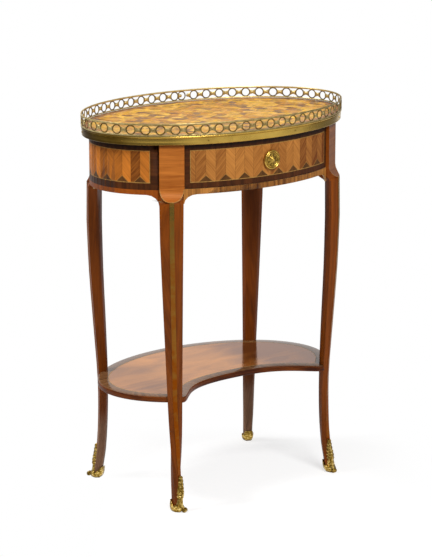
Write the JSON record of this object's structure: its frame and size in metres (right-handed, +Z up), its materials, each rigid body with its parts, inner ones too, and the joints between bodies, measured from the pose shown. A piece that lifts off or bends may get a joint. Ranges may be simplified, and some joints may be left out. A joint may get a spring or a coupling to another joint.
{
  "type": "salon table",
  "caption": "Oval salon table with a pierced brass gallery, a bow-fronted frieze drawer, curved legs with bronze foot mounts and a kidney-shaped shelf between the legs.",
  "frame": {"origin": "on the floor under the middle of the oval top", "axes": "+X along the oval's long axis to the right, -Y towards the front where the drawer opens, +Z up"},
  "size_m": [0.565, 0.363, 0.74],
  "materials": {
    "tulipwood": "polished",
    "parquetry": "polished",
    "oak": "bare",
    "bronze": "gilt, worn",
    "iron": "dull"
  },
  "bodies": {
    "table": {"top_board": "oak", "top_parquetry": "parquetry", "top_band": "bronze", "gallery_left": "bronze", "gallery_right": "bronze", "leg_front_left": "tulipwood", "leg_front_right": "tulipwood", "leg_back_left": "tulipwood", "leg_back_right": "tulipwood", "leg_strip_front_left": "bronze", "leg_strip_front_right": "bronze", "leg_strip_back_left": "bronze", "leg_strip_back_right": "bronze", "foot_mount_front_left": "bronze", "foot_mount_front_right": "bronze", "foot_mount_back_left": "bronze", "foot_mount_back_right": "bronze", "end_rail_left": "parquetry", "end_rail_right": "parquetry", "back_rail": "parquetry", "front_rail": "tulipwood", "runner_left": "oak", "runner_right": "oak", "guide_left": "oak", "guide_right": "oak", "kicker_left": "oak", "kicker_right": "oak", "stop_left": "oak", "stop_right": "oak", "shelf": "tulipwood"},
    "drawer": {"drawer_front": "parquetry", "drawer_side_left": "oak", "drawer_side_right": "oak", "drawer_back": "oak", "drawer_bottom": "oak", "drawer_knob": "bronze", "knob_nut": "iron"}
  },
  "joints": [
    {"name": "drawer_slide", "type": "slide", "parent": "table", "child": "drawer", "axis": [0, -1, 0], "range_m": [0, 0.18]}
  ]
}
